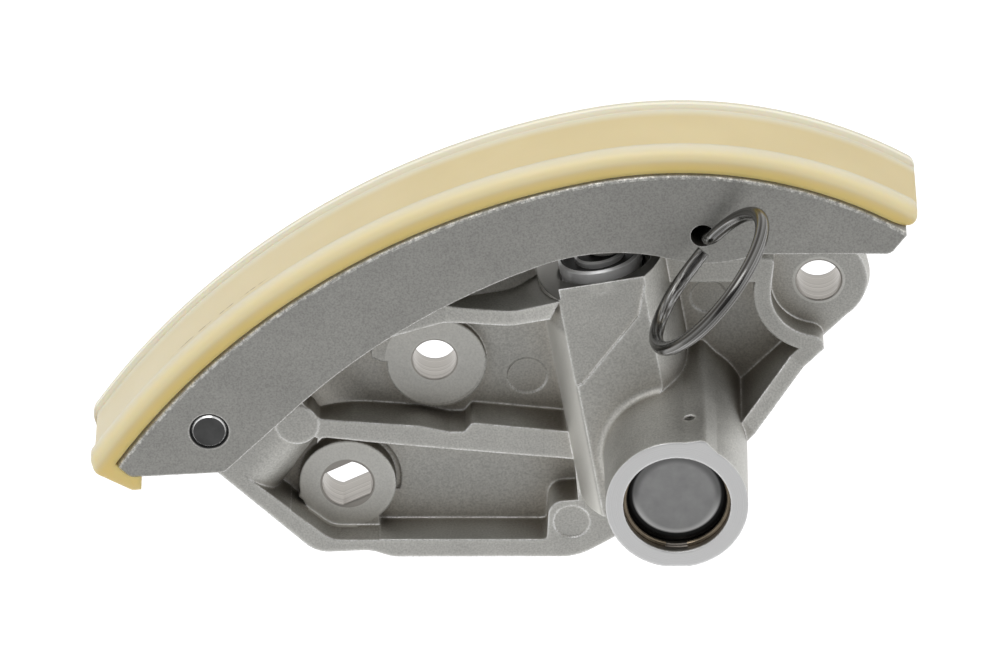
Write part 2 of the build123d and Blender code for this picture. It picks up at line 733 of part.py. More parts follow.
def rear_relief():
    """Shallow relief in the mounting face, so that it bears on its rim and round the bolt holes."""
    depth = 0.8
    lower = outline((-4.0, -27.5, 1.5), (16.0, -27.5, 1.5), (19.0, -12.0, 1.5), (-4.0, -12.0, 1.5))
    upper = outline((9.0, -8.5, 1.5), (17.5, -8.5, 1.5), (16.0, 12.0, 1.5), (9.0, 9.0, 1.5))
    right = outline((41.5, 5.5, 1.5), (47.0, 1.0, 1.5), (51.0, 5.0, 1.5), (46.5, 15.0, 1.5), (40.0, 15.0, 1.5))
    return slab(lower + upper + right, -1, depth)


def pad_a():
    """The pad of the first round hole; at its upper left it runs on under the arm."""
    wing = outline((-9.5, 0.4, 0), (-7.9, -0.4, 0), (-3.0, 0.0, 0), (-1.0, 8.5, 0), (-9.5, 8.5, 0))
    return slab(disc((0.3, -0.6), PAD_A_RADIUS) + wing, FLOOR_HEIGHT - 1, PAD_A_HEIGHT)


def pad_b():
    """The pad of the slotted hole; it runs on down to the rim."""
    apron = outline(
        (-20.6, -23.2, 0),
        (-15.6, -28.1, 4.0),
        (-8.4, -28.1, 0),
        (-8.4, -22.0, 0),
        (-19.5, -20.0, 0),
    )
    return slab(disc(HOLE_B, PAD_B_RADIUS) + apron, FLOOR_HEIGHT - 1, PAD_B_HEIGHT)


def lug_c():
    """The free lug, with draft from its parting line towards both faces."""
    profile = Polyline(
        (0, 0),
        (LUG_C_RADIUS, 0),
        (LUG_C_RADIUS + LUG_C_BULGE, LUG_C_PARTING),
        (LUG_C_RADIUS, PAD_C_HEIGHT),
        (0, PAD_C_HEIGHT),
        close=True,
    )
    return front(0) * Pos(*HOLE_C) * turned(make_face(profile))


def base_casting():
    """The base with its pockets, pads and rims, all with softened edges."""
    step_height = 0.25
    body = slab(casting_outline(), 0, RIM_HEIGHT)
    body -= slab(lower_pocket(), FLOOR_HEIGHT, RIM_HEIGHT + 1)
    body -= slab(pad_b_pocket(), FLOOR_HEIGHT - 0.6, RIM_HEIGHT + 1)
    body -= slab(upper_pocket(), FLOOR_HEIGHT, RIM_HEIGHT + 1) & pocket_ramp()
    body -= slab(upper_pocket() & Pos(14.5, 0) * Rectangle(40, 60), FLOOR_HEIGHT, RIM_HEIGHT + 1)
    body -= slab(right_pocket(), FLOOR_HEIGHT, RIM_HEIGHT + 1)
    body -= lug_c_clearance()
    body -= left_hollow()
    body -= behind_gusset()
    body += pad_a() + pad_b() + lug_c()
    body += post((-20.6, -8.1), 3.25, FLOOR_HEIGHT, RIM_HEIGHT + step_height)
    return body - arm_clearance()


def housing():
    body = base_casting()
    body += tongue() + lock_tab()
    body += (barrel() - barrel_step()) + top_gusset() + strut() + boss()
    beside_boss = Vector(BOSS[0] - BOSS_FOOT_RADIUS, -BLOCK_HEIGHT, BOSS[1])
    body = fillet(edges_at_height(body, BLOCK_HEIGHT).sort_by_distance(beside_boss)[0], BOSS_BLEND)
    body -= bore_cut()
    body -= left_shoulder_cut()
    body -= reservoir_cut()
    body -= vent_hole()
    body -= bolt_holes()
    body -= ejector_marks()
    body -= rear_relief()
    body -= post(PIVOT, PIVOT_PIN_RADIUS, 0, RIM_HEIGHT + 1)
    return body


# Pins, wire and pressed pieces

def pivot_pin():
    low, high, edge = ARM_LOW + 0.2, ARM_HIGH - 0.05, 0.35
    pin = slab(disc(PIVOT, PIVOT_PIN_RADIUS), low, high)
    return chamfer(pin.edges(), edge)


def lock_pin():
    """One bent wire: the straight pin and the pull ring, which stands out from the arm's face."""
    ring_height = ARM_HIGH + LOCK_RING_STAND_OFF + LOCK_RING_RADIUS
    along = (cos(radians(LOCK_RING_ANGLE)), 0, sin(radians(LOCK_RING_ANGLE)))

    def ring_point(turn, radius=LOCK_RING_RADIUS):
        """Point on the ring; a turn of -90 degrees is nearest the arm, 0 is at its upper right."""
        side = radius * cos(radians(turn))
        out = radius * sin(radians(turn))
        return (LOCK_PIN[0] + side * along[0], -(ring_height + out), LOCK_PIN[1] + side * along[2])

    bend = 2.4
    bend_turn = -90 + degrees(bend / LOCK_RING_RADIUS)
    knee = (LOCK_PIN[0], -(ring_height - LOCK_RING_RADIUS - 0.25), LOCK_PIN[1])
    stem_end = (LOCK_PIN[0], -(ring_height - LOCK_RING_RADIUS - bend), LOCK_PIN[1])
    start = (LOCK_PIN[0], -LOCK_TIP_HEIGHT, LOCK_PIN[1])
    ring_start = ring_point(bend_turn)
    stem = Line(start, stem_end)
    ring = ThreePointArc(ring_start, ring_point(50), ring_point(LOCK_LIMB_TURN))
    limb = Spline(
        ring @ 1,
        ring_point(222, LOCK_RING_RADIUS - 1.1),
        ring_point(265, LOCK_RING_RADIUS - 1.4),
        tangents=[ring % 1, (0.95 * along[0], 0.31, 0.95 * along[2])],
    )
    corner = Bezier(stem_end, knee, ring_start)
    path = Wire([stem, corner, ring, limb])
    section = Plane(origin=start, z_dir=(0, -1, 0)) * Circle(WIRE_RADIUS)
    return sweep(section, path=path, transition=Transition.ROUND)


def reservoir_cap():
    """A drawn cup, closed end outwards, with a rounded rim."""
    depth = CAP_FACE_HEIGHT - CAP_BORE_FLOOR - 2 * SEAL_WIRE_RADIUS
    cup = post(BOSS, CAP_RADIUS, CAP_FACE_HEIGHT - depth, CAP_FACE_HEIGHT)
    cup = fillet(cup.edges().sort_by(Axis.Y)[0], CAP_CORNER)
    return cup - post(BOSS, CAP_RADIUS - CAP_WALL, 0, CAP_FACE_HEIGHT - CAP_WALL)


def wire_ring(radius, wire_radius, height, gap_degrees):
    """A round wire ring about the reservoir's axis, closed or with a gap at its bottom."""
    plane = front(height)
    section = Plane.XZ * Pos(radius, 0) * Circle(wire_radius)
    ring = revolve(section, Axis.Z, 360 - gap_degrees)
    return plane * Pos(*BOSS) * Rot(0, 0, -90 + gap_degrees / 2) * ring


def cap_ring():
    return wire_ring(CAP_BORE_RADIUS - 0.1, CAP_RING_WIRE_RADIUS, CAP_RING_HEIGHT, 24)


def cap_seal():
    return wire_ring(CAP_RADIUS - SEAL_WIRE_RADIUS, SEAL_WIRE_RADIUS, CAP_BORE_FLOOR + SEAL_WIRE_RADIUS, 0)


def oil_strainer():
    """A disc of fine holes in a pressed rim, over the oil inlet."""
    disc_face = disc(INLET, STRAINER_RADIUS)
    hole, pitch = 0.35, 1.15
    for row in range(-2, 3):
        for column in range(-2, 3):
            if hypot(row, column) * pitch < STRAINER_RADIUS - 1.2:
                disc_face -= disc((INLET[0] + column * pitch, INLET[1] + row * pitch), hole)
    return slab(disc_face, 0.4, STRAINER_THICKNESS)


# Hydraulic pieces on the piston axis, drawn with z = 0 at the piston's head

def piston():
    groove_outer, groove_depth = 5.55, 0.8
    vent_radius, side_groove_radius = 0.6, 5.95
    profile = make_face(
        Polyline(
            (vent_radius, -PISTON_CROWN),
            (vent_radius, NOSE_RISE),
            (NOSE_RADIUS - 0.3, NOSE_RISE),
            (NOSE_RADIUS, NOSE_RISE - 0.3),
            (NOSE_RADIUS, -groove_depth),
            (groove_outer, -groove_depth),
            (groove_outer, 0),
            (PISTON_RADIUS - 0.35, 0),
            (PISTON_RADIUS, -0.35),
            (PISTON_RADIUS, -2.05),
            (side_groove_radius, -2.25),
            (side_groove_radius, -3.2),
            (PISTON_RADIUS, -3.4),
            (PISTON_RADIUS, -PISTON_LENGTH + 0.3),
            (PISTON_RADIUS - 0.3, -PISTON_LENGTH),
            (PISTON_CAVITY_RADIUS, -PISTON_LENGTH),
            (PISTON_CAVITY_RADIUS, -PISTON_CROWN),
            close=True,
        )
    )
    return PISTON_PLANE * turned(profile)


def valve_seat():
    """The seat disc pressed against the bore's bottom, with a coned seat for the ball."""
    cone_radius = 1.95
    profile = make_face(
        Polyline(
            (SEAT_HOLE_RADIUS, SEAT_TOP - SEAT_THICKNESS),
            (BORE_RADIUS, SEAT_TOP - SEAT_THICKNESS),
            (BORE_RADIUS, SEAT_TOP),
            (cone_radius, SEAT_TOP),
            (SEAT_HOLE_RADIUS, SEAT_TOP - 0.6),
            close=True,
        )
    )
    return PISTON_PLANE * turned(profile)


def check_ball():
    return PISTON_PLANE * Pos(0, 0, BALL_Z) * Sphere(BALL_RADIUS)


def valve_cage():
    """A pressed cup over the ball, with its flange on the seat."""
    inner, wall, height, flange = 2.35, 0.35, 5.2, 5.4
    cup = Cylinder(inner + wall, height, align=(Align.CENTER, Align.CENTER, Align.MIN))
    rim = Cylinder(flange, wall, align=(Align.CENTER, Align.CENTER, Align.MIN))
    room = Cylinder(inner, height - wall, align=(Align.CENTER, Align.CENTER, Align.MIN))
    hole = Cylinder(0.8, 2 * height)
    windows = [Rot(0, 0, turn) * Pos(inner, 0, 2.6) * Box(3, 1.4, 1.6) for turn in (0, 90, 180, 270)]
    return PISTON_PLANE * Pos(0, 0, SEAT_TOP) * (cup + rim - room - hole - windows)


def coil(radius, wire_radius, low, high, turns):
    """A compression spring between two seats on the piston axis."""
    pitch = (high - low - 2 * wire_radius) / turns
    helix = Helix(pitch=pitch, height=pitch * turns, radius=radius)
    section = Plane(origin=helix @ 0, z_dir=helix % 0) * RegularPolygon(wire_radius, 8)
    return PISTON_PLANE * Pos(0, 0, low + wire_radius) * sweep(section, path=helix, is_frenet=True)


def piston_spring():
    wire, mean = 0.55, 3.75
    return coil(mean, wire, SEAT_TOP + 0.38, -PISTON_CROWN - VENT_DISC_THICKNESS - 0.06, 9)


def vent_disc():
    """The disc in the piston's crown with a shallow ring and slot that let air out slowly."""
    radius, groove_radius, groove_width, groove_depth = 4.45, 2.6, 0.5, 0.35
    top = -PISTON_CROWN - 0.03
    align = (Align.CENTER, Align.CENTER, Align.MAX)
    ring = Cylinder(groove_radius + groove_width, groove_depth, align=align)
    ring -= Cylinder(groove_radius, groove_depth, align=align)
    slot = Box(2 * radius, groove_width, groove_depth, align=align)
    return PISTON_PLANE * Pos(0, 0, top) * (Cylinder(radius, VENT_DISC_THICKNESS, align=align) - ring - slot)


def ball_spring():
    wire, mean = 0.14, 1.3
    return coil(mean, wire, BALL_Z + 1.62, SEAT_TOP + 4.83, 3)


PARTS = {
    "housing": housing,
    "lever_arm": lever_arm,
    "guide_shoe": guide_shoe,
    "pivot_pin": pivot_pin,
    "lock_pin": lock_pin,
    "reservoir_cap": reservoir_cap,
    "cap_ring": cap_ring,
    "cap_seal": cap_seal,
    "oil_strainer": oil_strainer,
    "piston": piston,
    "vent_disc": vent_disc,
    "piston_spring": piston_spring,
    "valve_seat": valve_seat,
    "check_ball": check_ball,
    "valve_cage": valve_cage,
    "ball_spring": ball_spring,
}

for name, make in PARTS.items():
    export_step(make(), f"parts/{name}.step")
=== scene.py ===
import math

import bpy
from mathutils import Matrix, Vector


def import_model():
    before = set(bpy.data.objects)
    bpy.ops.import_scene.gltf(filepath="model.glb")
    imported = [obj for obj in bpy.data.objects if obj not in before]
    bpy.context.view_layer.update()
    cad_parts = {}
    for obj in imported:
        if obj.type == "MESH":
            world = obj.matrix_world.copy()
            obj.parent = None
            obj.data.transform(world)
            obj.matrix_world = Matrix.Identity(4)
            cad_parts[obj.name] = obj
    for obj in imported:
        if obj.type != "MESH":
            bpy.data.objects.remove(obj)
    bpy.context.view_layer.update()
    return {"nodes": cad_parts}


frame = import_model()
NODES = frame["nodes"]

MM = 0.001

# The running surface of the shoe: two arcs, each with its middle as x and z, and the x where they join
LEFT_ARC_CENTRE = (46.85 * MM, -74.65 * MM)
LEFT_ARC_RADIUS = 117.75 * MM
RIGHT_ARC_CENTRE = (36.43 * MM, -26.05 * MM)
RIGHT_ARC_RADIUS = 68.05 * MM
ARC_JOINT = (21.5 * MM, 23.0 * MM)
SHOE_MIDDLE = 10.75 * MM
SHOE_ROUNDING = 1.2 * MM
# Where the broken dark line on the running surface lies: above the mounting face, and along the guide
SEAM_HEIGHT = (14.05 * MM, 14.2 * MM)
SEAM_REACH = (-37.0 * MM, -27.0 * MM)

# Axes along Y, as x and z
RESERVOIR_AXIS = (36.0 * MM, -8.5 * MM)
DARK_BAND_AXIS = (36.0 * MM, -8.1 * MM)
PIVOT_AXIS = (-33.6 * MM, -5.3 * MM)
# Heights above the mounting face
RESERVOIR_FACE = (35.6 * MM, 35.8 * MM)
RESERVOIR_INSIDE = (20.0 * MM, 35.5 * MM)
BOLT_PAD_FACES = (6.4 * MM, 8.0 * MM)
ARM_FRONT_EDGE = (18.4 * MM, 18.6 * MM)
# Distances from these axes between which a finish, a painted shade or a painted reflection lies, or as far as
# it reaches
RESERVOIR_INSIDE_REACH = 10.0 * MM
PIVOT_GAP_REACH = 2.9 * MM
PIVOT_CHAMFER = (2.42 * MM, 2.66 * MM)
CAP_RIM = (5.3 * MM, 6.3 * MM)
CAP_DARK_BAND = (6.35 * MM, 6.75 * MM)
# Depth under the running surface at which the arm's chamfer is worn and has a painted highlight
ARM_CHAMFER_DEPTH = (4.35 * MM, 4.65 * MM)

PISTON_HEAD = (24.5 * MM, -11.5 * MM, 20.96 * MM)
# How far the painted shade round the piston's head reaches
PISTON_SHADE_REACH = (9 * MM, 15 * MM)
# Directions across the leaning piston block, and where its left flank lies along the first of them
ACROSS_BLOCK = (0.985, 0.0, 0.174)
LEFT_OF_BLOCK = (-0.985, 0.0, -0.174)
LEFT_FLANK = (17.6 * MM, 21.0 * MM)
# Where the painted light on the left flank fades out, along Z
FLANK_END = (10.5 * MM, 12.5 * MM)
VENT_MOUTH = (37.9 * MM, -28.6 * MM, 1.0 * MM)
VENT_RIM = (0.75 * MM, 1.2 * MM)
PULL_RING_CENTRE = (40.4 * MM, -33.6 * MM, 27.85 * MM)
PULL_RING_AXIS = (0.766, 0.0, -0.643)
# Each bolt hole's axis, and how far from it the finish of its bore and of its spot face reaches
BOLT_HOLES = (
    ((0.0, 0.0), 3.5 * MM, 7.4 * MM),
    ((-13.2 * MM, -21.0 * MM), 4.1 * MM, 7.2 * MM),
    ((57.4 * MM, 14.2 * MM), 3.5 * MM, 3.9 * MM),
)

UP = (0, 0, 1)
RIGHT = (1, 0, 0)
FRONT = (0, -1, 0)
# The point that the lamp faces
OBJECT_MIDDLE = Vector((0.010, -0.012, 0.008))

# Sockets of a node that mixes colours: its factor and its two colours, and its result
MIX_INPUTS = (0, 6, 7)
MIX_RESULT = 2


# Shader helpers

def new_material(name):
    """An empty material with its output and a principled shader."""
    material = bpy.data.materials.new(name)
    material.use_nodes = True
    tree = material.node_tree
    tree.nodes.clear()
    output = tree.nodes.new("ShaderNodeOutputMaterial")
    shader = tree.nodes.new("ShaderNodeBsdfPrincipled")
    tree.links.new(shader.outputs["BSDF"], output.inputs["Surface"])
    return material, tree, shader


def set_inputs(node, **values):
    for name, value in values.items():
        node.inputs[name.replace("_", " ")].default_value = value


def coordinates(tree):
    return tree.nodes.new("ShaderNodeTexCoord").outputs["Object"]


def noise(tree, where, size, detail=3.0, roughness=0.55):
    """Noise whose features are about the given size, in metres."""
    node = tree.nodes.new("ShaderNodeTexNoise")
    set_inputs(node, Scale=1 / size, Detail=detail, Roughness=roughness)
    tree.links.new(where, node.inputs["Vector"])
    return node.outputs["Fac"]


def ramp(tree, value, stops):
    """A colour ramp from (position, colour) pairs."""
    node = tree.nodes.new("ShaderNodeValToRGB")
    elements = node.color_ramp.elements
    while len(elements) < len(stops):
        elements.new(0.5)
    for element, (position, colour) in zip(elements, stops):
        element.position = position
        element.color = (*colour, 1)
    tree.links.new(value, node.inputs["Fac"])
    return node.outputs["Color"]


def mottle(tree, cloud, first, second):
    """Two colours in soft patches."""
    return ramp(tree, cloud, [(0.3, first), (0.7, second)])


def grey(value):
    return (value, value, value)


def warm_grey(value):
    return (value, 0.99 * value, 0.94 * value)


def math_node(tree, operation, first, second):
    node = tree.nodes.new("ShaderNodeMath")
    node.operation = operation
    for socket, value in zip(node.inputs, (first, second)):
        if isinstance(value, (int, float)):
            socket.default_value = value
        else:
            tree.links.new(value, socket)
    return node.outputs["Value"]


def product(tree, first, second):
    """Two masks or numbers multiplied: a mask where both masks are."""
    return math_node(tree, "MULTIPLY", first, second)


def difference(tree, first, second):
    return math_node(tree, "SUBTRACT", first, second)


def either(tree, first, second):
    return math_node(tree, "MAXIMUM", first, second)


def mix_colour(tree, factor, first, second, blend="MIX"):
    """Blend two colours, from the first at 0 to the second at 1."""
    node = tree.nodes.new("ShaderNodeMix")
    node.data_type = "RGBA"
    node.blend_type = blend
    for number, value in zip(MIX_INPUTS, (factor, first, second)):
        socket = node.inputs[number]
        if isinstance(value, (int, float)):
            socket.default_value = value
        elif isinstance(value, tuple):
            socket.default_value = (*value, 1)
        else:
            tree.links.new(value, socket)
    return node.outputs[MIX_RESULT]


def rounded_normal(tree, radius):
    """Normals as on edges rounded to the given radius."""
    node = tree.nodes.new("ShaderNodeBevel")
    node.samples = 6
    node.inputs["Radius"].default_value = radius
    return node.outputs["Normal"]


def bump(tree, height, depth, normal):
    node = tree.nodes.new("ShaderNodeBump")
    set_inputs(node, Strength=1.0, Distance=depth)
    tree.links.new(height, node.inputs["Height"])
    tree.links.new(normal, node.inputs["Normal"])
    return node.outputs["Normal"]


def towards(tree, vector, aim):
    """Dot product with a fixed direction: a cosine for directions, a distance along it for points."""
    node = tree.nodes.new("ShaderNodeVectorMath")
    node.operation = "DOT_PRODUCT"
    node.inputs[1].default_value = aim
    tree.links.new(vector, node.inputs[0])
    return node.outputs["Value"]


def facing(tree, direction):
    """How far the surface itself faces a direction of the object, from -1 to 1."""
    geometry = tree.nodes.new("ShaderNodeNewGeometry")
    change = tree.nodes.new("ShaderNodeVectorTransform")
    change.vector_type = "NORMAL"
    change.convert_from = "WORLD"
    change.convert_to = "OBJECT"
    tree.links.new(geometry.outputs["Normal"], change.inputs["Vector"])
    return towards(tree, change.outputs["Vector"], direction)


def steps(tree, value, low, high):
    """0 below the low value, 1 above the high one, and smooth between."""
    node = tree.nodes.new("ShaderNodeMapRange")
    node.interpolation_type = "SMOOTHSTEP"
    node.inputs["From Min"].default_value = low
    node.inputs["From Max"].default_value = high
    tree.links.new(value, node.inputs["Value"])
    return node.outputs["Result"]


def along(tree, where, axis):
    """One coordinate of a point."""
    node = tree.nodes.new("ShaderNodeSeparateXYZ")
    tree.links.new(where, node.inputs[0])
    return node.outputs[axis]


def distance_to(tree, where, point):
    node = tree.nodes.new("ShaderNodeVectorMath")
    node.operation = "DISTANCE"
    node.inputs[1].default_value = point
    tree.links.new(where, node.inputs[0])
    return node.outputs["Value"]


def distance_from_axis(tree, where, centre):
    """Distance from an axis that runs along Y through a point given as x and z, in metres."""
    flat = tree.nodes.new("ShaderNodeVectorMath")
    flat.operation = "MULTIPLY"
    flat.inputs[1].default_value = (1, 0, 1)
    tree.links.new(where, flat.inputs[0])
    return distance_to(tree, flat.outputs["Vector"], (centre[0], 0, centre[1]))


def near_axis(tree, where, centre, radius):
    """1 within the radius of an axis along Y, 0 outside it."""
    outside = steps(tree, distance_from_axis(tree, where, centre), radius, radius + 0.1 * MM)
    return difference(tree, 1.0, outside)


def band(tree, value, low, high, blur):
    """1 between two values, 0 outside them."""
    rise = steps(tree, value, low - blur, low)
    fall = steps(tree, value, high, high + blur)
    return difference(tree, rise, fall)


def layers(tree, value, thickness):
    """Noise that changes only with one value, as on a turned or bored surface."""
    node = tree.nodes.new("ShaderNodeTexNoise")
    node.noise_dimensions = "1D"
    set_inputs(node, Scale=1.0, Detail=2.0)
    tree.links.new(math_node(tree, "DIVIDE", value, thickness), node.inputs["W"])
    return node.outputs["Fac"]


def depth_below_track(tree, where):
    """Depth below the running surface of the shoe, in metres."""
    left = difference(tree, LEFT_ARC_RADIUS, distance_from_axis(tree, where, LEFT_ARC_CENTRE))
    right = difference(tree, RIGHT_ARC_RADIUS, distance_from_axis(tree, where, RIGHT_ARC_CENTRE))
    on_right = steps(tree, along(tree, where, "X"), *ARC_JOINT)
    return mix_colour(tree, on_right, left, right)


def height_above_mount(tree, where):
    return product(tree, along(tree, where, "Y"), -1.0)


def recess_mask(tree, reach):
    """1 deep in the pockets of the piece itself, 0 on its open faces."""
    node = tree.nodes.new("ShaderNodeAmbientOcclusion")
    node.samples = 6
    node.only_local = True
    node.inputs["Distance"].default_value = reach
    return steps(tree, difference(tree, 1.0, node.outputs["AO"]), 0.1, 0.6)


def edge_mask(tree, rounded):
    """1 on the edges and in the corners that the rounded normals soften."""
    geometry = tree.nodes.new("ShaderNodeNewGeometry")
    dot = tree.nodes.new("ShaderNodeVectorMath")
    dot.operation = "DOT_PRODUCT"
    tree.links.new(geometry.outputs["Normal"], dot.inputs[0])
    tree.links.new(rounded, dot.inputs[1])
    return steps(tree, difference(tree, 1.0, dot.outputs["Value"]), 0.01, 0.12)


def finish_where(tree, shader, mask, colour, roughness):
    """Give part of a surface a colour and roughness of its own."""
    for socket, finish in (("Base Color", colour), ("Roughness", grey(roughness))):
        before = shader.inputs[socket].links[0].from_socket
        tree.links.new(mix_colour(tree, mask, before, finish), shader.inputs[socket])


# Cast metal

def pocket_browning_and_shade(tree, base, dark):
    """Browner in the pockets, and with painted shade on their walls that face up or right."""
    recess = recess_mask(tree, 8 * MM)
    base = mix_colour(tree, recess, base, (1.10 * dark, 1.05 * dark, 0.95 * dark))
    # Painted shade: the pocket walls that face up or right are made darker
    facing_up = steps(tree, facing(tree, UP), 0.4, 0.8)
    facing_right = steps(tree, facing(tree, RIGHT), 0.4, 0.8)
    shaded_wall = product(tree, recess, either(tree, facing_up, facing_right))
    return mix_colour(tree, shaded_wall, base, (0.42 * dark, 0.38 * dark, 0.33 * dark))


def painted_edge_highlights(tree, where, rounded, speckle):
    """Painted highlights on the edges and in the corners: broken by the grain, and stronger in some patches
    than in others.
    """
    patches = ramp(tree, noise(tree, where, 3.0 * MM, detail=3), [(0.38, grey(0.35)), (0.6, grey(1.0))])
    edge_highlight = product(tree, edge_mask(tree, rounded), steps(tree, speckle, 0.3, 0.55))
    return product(tree, edge_highlight, patches)


def cast_metal(name, dark, light, edge_radius, grain_depth, soft_radius):
    """Blasted die casting: mottled grey, with painted highlights on its edges, browner in its pockets, and
    painted shade on some pocket walls.
    """
    material, tree, shader = new_material(name)
    where = coordinates(tree)
    cloud = noise(tree, where, 6.0 * MM, detail=4)
    speckle = noise(tree, where, 0.28 * MM, detail=2)
    base = mottle(tree, cloud, warm_grey(dark), warm_grey(light))
    base = pocket_browning_and_shade(tree, base, dark)
    specks = ramp(tree, speckle, [(0.32, grey(0.84)), (0.5, grey(1.0)), (0.7, grey(1.14))])
    colour = mix_colour(tree, 1.0, base, specks, "MULTIPLY")
    # Painted highlight: a soft light band along the edges
    soft_edge_highlight = product(tree, edge_mask(tree, rounded_normal(tree, soft_radius)), 0.35)
    colour = mix_colour(tree, soft_edge_highlight, colour, warm_grey(0.85))
    rounded = rounded_normal(tree, edge_radius)
    # Painted highlights along the edges and in the corners
    edge_highlight = painted_edge_highlights(tree, where, rounded, speckle)
    colour = mix_colour(tree, edge_highlight, colour, grey(0.95))
    tree.links.new(colour, shader.inputs["Base Color"])
    roughness = mix_colour(tree, edge_highlight, mottle(tree, cloud, grey(0.50), grey(0.58)), grey(0.35))
    tree.links.new(roughness, shader.inputs["Roughness"])
    tree.links.new(bump(tree, speckle, grain_depth, rounded), shader.inputs["Normal"])
    set_inputs(shader, Metallic=1.0)
    return material, tree, shader


def finish_reservoir(tree, shader, where):
    """The turned face round the reservoir, and its darker inside."""
    height = height_above_mount(tree, where)
    on_face = steps(tree, height, *RESERVOIR_FACE)
    turned = product(tree, on_face, steps(tree, facing(tree, FRONT), 0.95, 0.99))
    rings = layers(tree, distance_from_axis(tree, where, RESERVOIR_AXIS), 0.1 * MM)
    finish_where(tree, shader, turned, mottle(tree, rings, grey(0.78), grey(0.88)), roughness=0.36)
    bore = near_axis(tree, where, RESERVOIR_AXIS, RESERVOIR_INSIDE_REACH)
    inside = product(tree, bore, band(tree, height, *RESERVOIR_INSIDE, 0.2 * MM))
    finish_where(tree, shader, inside, (0.34, 0.31, 0.275), roughness=0.4)


def finish_piston_block(tree, shader, where):
    """Painted shade round the piston, painted light on the left flank of its block, and the bright rim of the
    vent.
    """
    # Painted shade on the faces round the piston that face up
    far_from_head = steps(tree, distance_to(tree, where, PISTON_HEAD), *PISTON_SHADE_REACH)
    upward = steps(tree, facing(tree, UP), 0.2, 0.6)
    shaded_round_piston = product(tree, upward, difference(tree, 1.0, far_from_head))
    finish_where(tree, shader, shaded_round_piston, (0.20, 0.195, 0.18), roughness=0.45)
    left_of_block = band(tree, towards(tree, where, ACROSS_BLOCK), *LEFT_FLANK, 0.4 * MM)
    facing_left = steps(tree, facing(tree, LEFT_OF_BLOCK), 0.1, 0.5)
    flank = product(tree, left_of_block, facing_left)
    upper_end = steps(tree, along(tree, where, "Z"), *FLANK_END)
    # Painted light, up to eight tenths lighter; at the upper end the mask is below 0 and changes nothing
    flank = product(tree, flank, difference(tree, 0.8, upper_end))
    finish_where(tree, shader, flank, warm_grey(0.86), roughness=0.5)
    vent_rim = band(tree, distance_to(tree, where, VENT_MOUTH), *VENT_RIM, 0.1 * MM)
    finish_where(tree, shader, vent_rim, warm_grey(0.85), roughness=0.4)


def finish_bolt_holes(tree, shader, where):
    """Spot faces round the bolt holes, and bores with rings from the drill."""
    rings = layers(tree, along(tree, where, "Y"), 0.35 * MM)
    bored = ramp(tree, rings, [(0.35, (0.34, 0.32, 0.295)), (0.65, (0.51, 0.485, 0.45))])
    pad_face = band(tree, height_above_mount(tree, where), *BOLT_PAD_FACES, 0.1 * MM)
    for centre, bore_reach, spot_reach in BOLT_HOLES:
        spot = product(tree, near_axis(tree, where, centre, spot_reach), pad_face)
        finish_where(tree, shader, product(tree, spot, 0.45), warm_grey(0.80), roughness=0.5)
        finish_where(tree, shader, near_axis(tree, where, centre, bore_reach), bored, roughness=0.32)


def housing_casting():
    """The housing's casting, with its turned face round the reservoir and its bored holes."""
    material, tree, shader = cast_metal(
        "housing_casting",
        dark=0.51,
        light=0.58,
        edge_radius=0.5 * MM,
        grain_depth=0.02 * MM,
        soft_radius=1.4 * MM,
    )
    where = coordinates(tree)
    finish_reservoir(tree, shader, where)
    finish_piston_block(tree, shader, where)
    finish_bolt_holes(tree, shader, where)
    return material


def arm_casting():
    """The arm's casting, worn bright in streaks with a painted highlight along its edge under the shoe, and
    with painted shade round the pivot pin.
    """
    material, tree, shader = cast_metal(
        "arm_casting",
        dark=0.39,
        light=0.44,
        edge_radius=0.3 * MM,
        grain_depth=0.012 * MM,
        soft_radius=0.5 * MM,
    )
    where = coordinates(tree)
    # Partly wear, partly painted highlight: the chamfer under the shoe is lighter in streaks
    under_shoe = band(tree, depth_below_track(tree, where), *ARM_CHAMFER_DEPTH, 0.25 * MM)
    chamfer = product(tree, under_shoe, steps(tree, height_above_mount(tree, where), *ARM_FRONT_EDGE))
    streaks = steps(tree, noise(tree, where, 0.7 * MM, detail=5, roughness=0.75), 0.42, 0.64)
    finish_where(tree, shader, product(tree, chamfer, streaks), warm_grey(0.90), roughness=0.42)
    # Painted shade: near black round the pivot pin
    finish_where(tree, shader, near_axis(tree, where, PIVOT_AXIS, PIVOT_GAP_REACH), grey(0.05), roughness=0.5)
    return material


# Steel

def steel(name, dark, light, roughness, tint=(1, 1, 1)):
    """Bare steel with faint tool marks."""
    material, tree, shader = new_material(name)
    cloud = noise(tree, coordinates(tree), 2.0 * MM, detail=3)
    low = tuple(dark * part for part in tint)
    high = tuple(light * part for part in tint)
    tree.links.new(mottle(tree, cloud, low, high), shader.inputs["Base Color"])
    rough = mottle(tree, cloud, grey(roughness * 0.85), grey(roughness * 1.15))
    tree.links.new(rough, shader.inputs["Roughness"])
    tree.links.new(rounded_normal(tree, 0.1 * MM), shader.inputs["Normal"])
    set_inputs(shader, Metallic=1.0)
    return material, tree, shader


def plain_steel(name, dark, light, roughness, tint=(1, 1, 1)):
    return steel(name, dark, light, roughness, tint)[0]


def piston_steel():
    """Ground steel, with painted shade that makes the piston's head near black."""
    material, tree, shader = steel("piston_steel", dark=0.66, light=0.76, roughness=0.36)
    # Painted shade: the head, which faces up, is near black
    head = steps(tree, facing(tree, UP), 0.7, 0.9)
    finish_where(tree, shader, head, grey(0.07), roughness=0.3)
    set_inputs(shader, Metallic=0.55)
    return material


def pivot_steel():
    """Dark pin steel, ground bright on the chamfer round the pin's end."""
    material, tree, shader = steel("dark_pin_steel", dark=0.085, light=0.115, roughness=0.38)
    distance = distance_from_axis(tree, coordinates(tree), PIVOT_AXIS)
    chamfer = band(tree, distance, *PIVOT_CHAMFER, 0.05 * MM)
    finish_where(tree, shader, chamfer, grey(0.95), roughness=0.25)
    return material


